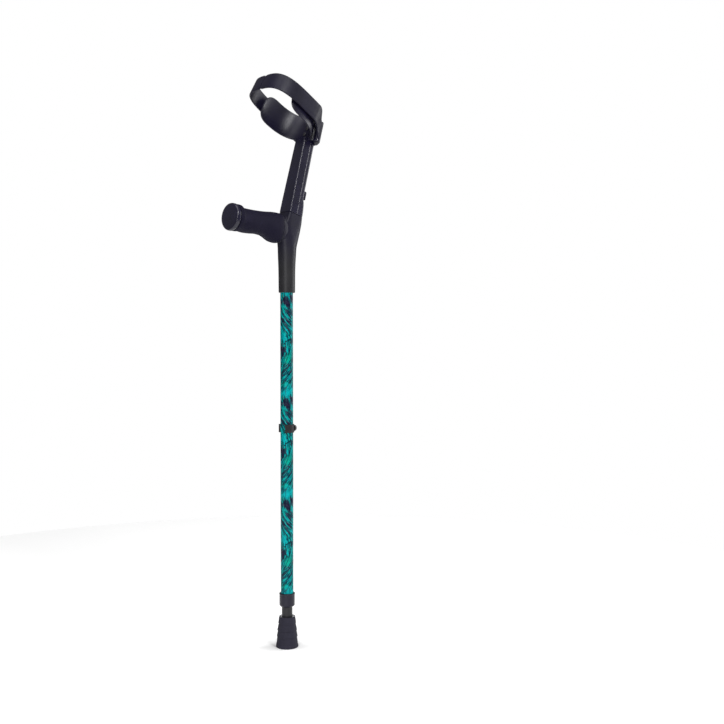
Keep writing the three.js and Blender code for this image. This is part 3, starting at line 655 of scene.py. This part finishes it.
# Its last edge, on the barrel, in the forearm section's frame: inner low and high, then outer high and low.
LEAF_END = [(26.5, 3.5, 155.6), (25.7, 6.3, 179.5), (29, 8.8, 179.5), (29.6, 3.5, 155.6)]
FLAP_HEIGHT = 30.0
SHELL_LOW, SHELL_HIGH = -13.5, 35.0


def band_point(band, angle, inward, s):
    """A point across a band's wall (0 outside, 1 inside) at an angle and a height, in the cuff's frame."""
    lean = band["lean_in"] * (s - SHELL_LOW) / (SHELL_HIGH - SHELL_LOW)
    a, b, wall = band["half_width"] - lean, band["half_depth"], band["wall"]
    outer = superellipse(angle, a, b, band["power"])
    inner = superellipse(angle, a - wall, b - wall, band["power"])
    return Vector((outer[0] + (inner[0] - outer[0]) * inward, outer[1] + (inner[1] - outer[1]) * inward, s))


def wall_profile(thickness, low, high, radius=1.05):
    """(inward, height) round a wall's rounded cross-section."""
    r = min(radius, (high - low) * 0.45, thickness * 0.45)
    corners = [(0, low, r), (0, (low * 2 + high) / 3), (0, (low + high * 2) / 3), (0, high, r),
               (thickness, high, r), (thickness, (low + high * 2) / 3), (thickness, (low * 2 + high) / 3),
               (thickness, low, r)]
    return [(p.x / thickness, p.y) for p in fillet(corners, 4)]


def round_off(fraction, power):
    """A superellipse quarter: 0 at the start, 1 at a fraction of 1."""
    return (1 - (1 - min(max(fraction, 0.02), 1)) ** power) ** (1 / power)


def shell_shape():
    """The U round the back of the arm, rounded off towards both tips."""
    tip, taper, steps = math.radians(25), math.radians(28), 150
    middle, rings = (SHELL_LOW + SHELL_HIGH) / 2, []
    for i in range(steps + 1):
        angle = -tip + (1 - math.cos(i * math.pi / steps)) / 2 * (math.pi + 2 * tip)
        from_tip = min(angle + tip, math.pi + tip - angle)
        half = (SHELL_HIGH - SHELL_LOW) / 2 * round_off(from_tip / taper, 2.6)
        profile = wall_profile(SHELL["wall"], middle - half, middle + half)
        rings.append([band_point(SHELL, angle, inward, s) for inward, s in profile])
    return loft(rings)


shell = make("shell", shell_shape(), CUFF, 50)
piece("cuff_shell_cradle", shell, "cuff_carrier", "plastic", CUFF_BLACK, "cuff_shell")

HINGE_X, HINGE_DEPTH, HINGE_R = 24.2, 5.3, 6.0
HINGE_LOW, HINGE_HIGH, EAR, EAR_GAP = 150, 187, 5, 0.3
HINGE_AXIS = Matrix.Translation((HINGE_X, HINGE_DEPTH, 0))
SPRING_BORE, SPRING_LOW, SPRING_HIGH = 5.0, 155.4, 164.2


def through(points, steps):
    """Points along a smooth curve through the given ones, paced so that it never loops."""
    points = [points[0] * 2 - points[1]] + list(points) + [points[-1] * 2 - points[-2]]
    out = []
    for a, b, c, d in zip(points, points[1:], points[2:], points[3:]):
        t1 = (b - a).length ** 0.5
        t2 = t1 + (c - b).length ** 0.5
        t3 = t2 + (d - c).length ** 0.5
        for k in range(steps):
            t = t1 + (t2 - t1) * k / steps
            ab, bc, cd = a.lerp(b, t / t1), b.lerp(c, (t - t1) / (t2 - t1)), c.lerp(d, (t - t2) / (t3 - t2))
            abc, bcd = ab.lerp(bc, t / t2), bc.lerp(cd, (t - t1) / (t3 - t1))
            out.append(abc.lerp(bcd, (t - t1) / (t2 - t1)))
    return out + [points[-2]]


def flap_shape():
    """The right flap's band, then its leaf that narrows round to the barrel, in the forearm section's frame."""
    to_arm = ARM_INVERSE @ CUFF
    front, steps, high = -math.pi / 2, 120, FLAP_HEIGHT
    rings = []
    for i in range(steps + 1):
        angle = front + 0.0008 + (i / steps) ** 1.4 * (LEAF_START - front)
        reach = band_point(FLAP, angle, 0, 0).x
        drop = 3.4 * (1 - round_off(reach / 6.5, 2))
        profile = wall_profile(FLAP["wall"], drop, high - drop)
        rings.append([to_arm @ band_point(FLAP, angle, inward, s) for inward, s in profile])
    start = band_point(FLAP, LEAF_START, 0, 0)
    path = [(start.x, start.y, 0, high)] + LEAF_COLUMNS
    columns = []
    for i, (x, y, low, top) in enumerate(path):
        before, after = path[max(i - 1, 0)], path[min(i + 1, len(path) - 1)]
        inward = Vector((before[1] - after[1], after[0] - before[0], 0)).normalized() * FLAP["wall"]
        columns.append([to_arm @ (Vector((x, y, s)) + inward * deep)
                        for s, deep in ((low, 1), (top, 1), (top, 0), (low, 0))])
    columns.append([Vector(p) for p in LEAF_END])
    edges = [through([column[k] for column in columns], 12) for k in range(4)]
    for corner in list(zip(*edges))[1:]:
        ring = []
        for inward, s in wall_profile(FLAP["wall"], 0, high):
            up = s / high
            inner = corner[0].lerp(corner[1], up)
            outer = corner[3].lerp(corner[2], up)
            ring.append(outer.lerp(inner, inward))
        rings.append(ring)
    return loft(rings)


def barrel(low, high, bore=2.3, r=HINGE_R):
    return moved(turned([(bore, low), (r, low, 0.5), (r, high, 0.5), (bore, high)], 64, wrap=True), HINGE_AXIS)


def rivet_shape(low, high):
    """The hinge pin, with a low head at each end."""
    shank, head = 2, 3.2
    return moved(turned([(0.4, low - 1.5), (1.8, low - 1.4, 0.4), (head, low - 0.7, 0.4), (head, low), (shank, low),
                         (shank, high), (head, high), (head, high + 0.7, 0.4), (1.8, high + 1.4, 0.4),
                         (0.4, high + 1.5)], FACETS), HINGE_AXIS)


def coil_shape(low, high, mean_r, wire, turns):
    """A closed-end helix of wire round the hinge pin."""
    steps, rings = int(FACETS * turns), []
    for i in range(steps + 1):
        a = 2 * math.pi * i / FACETS
        rise = low + wire + (high - low - 2 * wire) * i / steps
        outward = Vector((math.cos(a), math.sin(a), 0))
        centre = Vector((HINGE_X, HINGE_DEPTH, rise)) + outward * mean_r
        rings.append([centre + outward * wire * math.cos(q) + Vector((0, 0, wire * math.sin(q)))
                      for q in (2 * math.pi * k / 12 for k in range(12))])
    return loft(rings)


SIDES = (("right", same), ("left", mirrored))

for side, flip in SIDES:
    body = side + "_flap"
    flap = make("flap", flip(flap_shape()), ARM, 50)
    low, high = HINGE_LOW + EAR + EAR_GAP, HINGE_HIGH - EAR - EAR_GAP
    ear_space = together(barrel(HINGE_LOW - 15, low, 0.4, HINGE_R + EAR_GAP),
                         barrel(high, HINGE_HIGH + 15, 0.4, HINGE_R + EAR_GAP))
    bore = moved(rod(SPRING_BORE, HINGE_LOW + EAR, HINGE_HIGH - EAR), HINGE_AXIS)
    carve(flap, flip(ear_space), ARM, 50)
    carve(flap, flip(bore), ARM, 50)
    piece(side + "_flap_band", flap, body, "plastic", FLAP_BLACK, side + "_flap")
    knuckle = make("knuckle", flip(barrel(low, high)), ARM)
    pocket = moved(rod(SPRING_BORE, SPRING_LOW - 0.6, SPRING_HIGH + 0.6), HINGE_AXIS)
    window = moved(prism(rectangle(-9, -2.5, -4, 4), SPRING_LOW, SPRING_HIGH), HINGE_AXIS)
    carve(knuckle, flip(pocket), ARM)
    carve(knuckle, flip(window), ARM)
    piece(side + "_flap_knuckle", knuckle, body, "plastic", FLAP_BLACK)
    rivet = make("rivet", flip(rivet_shape(HINGE_LOW - EAR_GAP, HINGE_HIGH + EAR_GAP)), ARM)
    piece(side + "_hinge_rivet", rivet, "cuff_carrier", "steel", SCREW_BLACK, side + "_hinge_pin")
    coil = make("coil", flip(coil_shape(SPRING_LOW, SPRING_HIGH, 3.7, 0.45, 6)), ARM)
    piece(side + "_spring_coil", coil, "cuff_carrier", "steel", STEEL, side + "_torsion_spring")

# ---------- the forearm section ----------

def chamfered(row, steps):
    """Sections drawn in from an end of the forearm section, one for each height and inset."""
    along, half_width, back, front = row
    return [sleeve_section(along + up, half_width - inset, back + inset, front - inset) for up, inset in steps]


PEG = ARM @ Matrix.Translation((0, 0, PEG_Z))
foot = SLEEVE[0]
rings = chamfered(foot, ((0, 0.9), (0.3, 0.4)))
rings += [sleeve_section(*row) for row in eased([(foot[0] + 0.8, *foot[1:])] + SLEEVE[1:], 8)]
rings += chamfered(SLEEVE[-1], ((1.2, 0.25), (2.0, 0.7), (2.5, 1.4)))
sleeve = make("sleeve", loft(rings), ARM)
cavity_half = POST_HALF + 0.3
carve(sleeve, prism(rectangle(-cavity_half, cavity_half, -cavity_half, cavity_half), 5, 138), ARM)
carve(sleeve, along_y(rod(PEG_HOLE_R, 2, 25)), PEG)
around_shell = [superellipse(2 * math.pi * i / 160, SHELL["half_width"] + 0.3, SHELL["half_depth"] + 0.3,
                             SHELL["power"]) for i in range(160)]
carve(sleeve, prism(around_shell, SHELL_LOW - 0.3, 60), CUFF)
piece("forearm_sleeve_box", sleeve, "cuff_carrier", "plastic", BLACK, "forearm_sleeve")


def tab_shape():
    """The peg's tab in side view, with a finger notch under it, drawn across the forearm section."""
    outline = fillet([(13.2, 48.6, 0.3), (15, 48.6, 0.5), (16, 51.2, 0.5), (18.2, 48.6, 0.3), (19, 49.3, 0.3),
                      (19, 62, 0.9), (17.8, 63.6, 0.8), (13.2, 63.6, 0.3)], 4)
    return loft([[Vector((x, p.x, p.y)) for p in outline] for x in (-10, 10)])


peg = round_edges(make("peg", tab_shape(), ARM), 0.6, 3, 50)
piece("cuff_peg_tab", peg, "cuff_peg", "plastic", BLACK, "cuff_lock_peg")
shank = along_y(turned([(2.3, 2.5, 0.3), (3, 3.4, 0.3), (3, 13.6)], FACETS))
piece("cuff_peg_shank", make("shank", shank, PEG), "cuff_peg", "plastic", BLACK)


def bracket_shapes():
    """The web behind the forearm section, with an arm out to each ear."""
    near, far = 12.6, 16
    arm = [(0, near), (12.9, near), (20.9, 0.4), (HINGE_X, HINGE_DEPTH), (27.3, 10.44), (15, far), (0, far)]
    web = [(0, near), (14, near), (14, far), (0, far)]
    shapes = []
    for outline, low, high in ((arm, HINGE_LOW, HINGE_LOW + EAR), (web, HINGE_LOW, HINGE_HIGH),
                               (arm, HINGE_HIGH - EAR, HINGE_HIGH)):
        whole = outline + [(-x, y) for x, y in reversed(outline) if x]
        shapes.append(prism(whole, low, high))
    return shapes


def united(name, shapes, place, width):
    """One piece out of overlapping shapes."""
    whole = make(name, shapes[0], place)
    for shape in shapes[1:]:
        other = make("other", shape, place)
        join = whole.modifiers.new("join", "BOOLEAN")
        join.operation, join.solver, join.object = "UNION", "EXACT", other
        apply_modifiers(whole)
        bpy.data.objects.remove(other)
    return round_edges(finish_mesh(whole), width, 2, 40)


EARS = (("lower", HINGE_LOW), ("upper", HINGE_HIGH - EAR))
bracket = united("bracket", bracket_shapes(), ARM, 0.35)
for _, low in EARS:
    for _, flip in SIDES:
        carve(bracket, flip(moved(rod(HINGE_R - 0.4, low - 1, low + EAR + 1), HINGE_AXIS)), ARM)
piece("hinge_bracket_web", bracket, "cuff_carrier", "plastic", BLACK, "hinge_bracket")
for name, low in EARS:
    for side, flip in SIDES:
        piece(f"{side}_{name}_ear", make("ear", flip(barrel(low, low + EAR)), ARM), "cuff_carrier", "plastic", BLACK)


CUFF_FROM_ARM = 14.6  # the angle between the cuff and the forearm section, in degrees


def screw_shape(height):
    """A button screw through the shell's leaning wall, and where its head sits, drawn from inside the cuff."""
    rear = ARM_INVERSE @ (CUFF @ Vector((0, SHELL["half_depth"] - SHELL["wall"], 0)))
    inside = rear.y + (height - rear.z) * math.tan(math.radians(CUFF_FROM_ARM))
    seat = inside - 1.4
    return seat, turned([(0.3, seat - 1.75), (1.6, seat - 1.6, 0.5), (3.2, seat - 1.1, 0.6), (3.6, seat - 0.3, 0.3),
                         (3.6, seat), (2, seat), (2, 16), (0.3, 16)], FACETS)


for name, height in (("upper", 176), ("lower", 164)):
    seat, shape = screw_shape(height)
    place = ARM @ Matrix.Translation((0, 0, height))
    screw = make("screw", along_y(shape), place)
    for a, b in ((1.7, 0.35), (0.35, 1.7)):
        carve(screw, along_y(prism(rectangle(-a, a, -b, b), seat - 3, seat - 0.9)), place)
    piece(name + "_cuff_screw_head", screw, "cuff_carrier", "steel", SCREW_BLACK, name + "_cuff_screw")

# ---------- carried CAD nodes ----------

for name, material in (("ferrule_washer", STEEL), ("leg_top_plug", BLACK), ("neck_cross_pin", STEEL)):
    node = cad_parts[name]
    node.data.materials.clear()
    node.data.materials.append(material)

# ---------- floor, light and camera ----------

VIEW = math.radians(45.5)  # the camera's turn round the crutch
BACK = Vector((math.sin(VIEW), -math.cos(VIEW), 0))  # from the crutch towards the camera
RIGHT = Vector((math.cos(VIEW), math.sin(VIEW), 0))
FLOOR_R = 1.3


def floor():
    """A round pale sheet, lit by its own emission almost as bright as the backdrop out to its edge, with a painted
    soft shadow round the foot where that emission falls away.
    """
    mesh = bpy.data.meshes.new("floor")
    turns = [2 * math.pi * i / 128 for i in range(128)]
    mesh.from_pydata([(FLOOR_R * math.cos(t), FLOOR_R * math.sin(t), 0) for t in turns], [], [tuple(range(128))])
    ground = bpy.data.objects.new("floor", mesh)
    SCENE_ROOT.objects.link(ground)
    p = Paint("floor_paper")
    spread = p.add("ShaderNodeMapping", 0, {"vector_type": "TEXTURE"}, Vector=p.place, Rotation=(0, 0, VIEW),
                   Scale=(1.45, 0.82, 1))
    from_foot = p.add("ShaderNodeVectorMath", "Value", {"operation": "LENGTH"}, i0=spread)
    # Painted contact shadow: the floor's emission drops to nothing at the foot and rises to full strength a few
    # centimetres away.
    glow_and_painted_shade = p.scaled(from_foot, 0.004, 0.054, 0.0, 0.40, smooth=True)
    mesh.materials.append(p.finish(Base_Color=(0.93, 0.93, 0.93), Roughness=0.9, Specular_IOR_Level=0.1,
                                   Emission_Color=(1.0, 1.0, 1.0), Emission_Strength=glow_and_painted_shade))


floor()


def softbox(name, turn, height, distance, width, tall, power, aim=0.55):
    """A soft light beside the crutch, aimed at a height on it. Turn is from the camera's side towards the right."""
    t = math.radians(turn)
    data = bpy.data.lights.new(name, "AREA")
    data.shape, data.size, data.size_y, data.energy = "RECTANGLE", width, tall, power
    lamp = bpy.data.objects.new(name, data)
    SCENE_ROOT.objects.link(lamp)
    lamp.location = (BACK * math.cos(t) + RIGHT * math.sin(t)) * distance + Vector((0, 0, height))
    lamp.rotation_euler = (Vector((0, 0, aim)) - lamp.location).to_track_quat("-Z", "Y").to_euler()
    return lamp


softbox("key", turn=-13, height=1.05, distance=2.6, width=0.36, tall=2.7, power=36)
softbox("side", turn=37, height=2.28, distance=2.4, width=0.6, tall=0.9, power=34, aim=0.9)
softbox("rim", turn=112, height=1.0, distance=2.2, width=0.7, tall=1.8, power=22)
softbox("top", turn=20, height=3.0, distance=0.6, width=1.8, tall=1.8, power=24)


def studio():
    """A pale backdrop that lights the crutch more softly than it shows to the camera."""
    world = bpy.data.worlds.new("studio")
    bpy.context.scene.world = world
    world.use_nodes = True
    tree = world.node_tree
    shown = tree.nodes["Background"]
    shown.inputs["Color"].default_value = (1, 1, 1, 1)
    lighting = tree.nodes.new("ShaderNodeBackground")
    lighting.inputs["Color"].default_value = (1, 1, 1, 1)
    lighting.inputs["Strength"].default_value = 0.24
    rays = tree.nodes.new("ShaderNodeLightPath")
    either = tree.nodes.new("ShaderNodeMixShader")
    tree.links.new(rays.outputs["Is Camera Ray"], either.inputs[0])
    tree.links.new(lighting.outputs[0], either.inputs[1])
    tree.links.new(shown.outputs[0], either.inputs[2])
    tree.links.new(either.outputs[0], tree.nodes["World Output"].inputs["Surface"])


studio()
bpy.context.scene.view_settings.view_transform = "Standard"

camera = bpy.data.objects.new("camera", bpy.data.cameras.new("camera"))
SCENE_ROOT.objects.link(camera)
camera.data.sensor_width = 36
camera.data.lens = 50.37
camera.data.clip_end = 200
camera.location = (1.3486, -1.1416, 0.5415)
pitch = math.radians(1.4)
looking = -BACK * math.cos(pitch) - Vector((0, 0, math.sin(pitch)))
camera.rotation_euler = looking.to_track_quat("-Z", "Y").to_euler()
bpy.context.scene.camera = camera
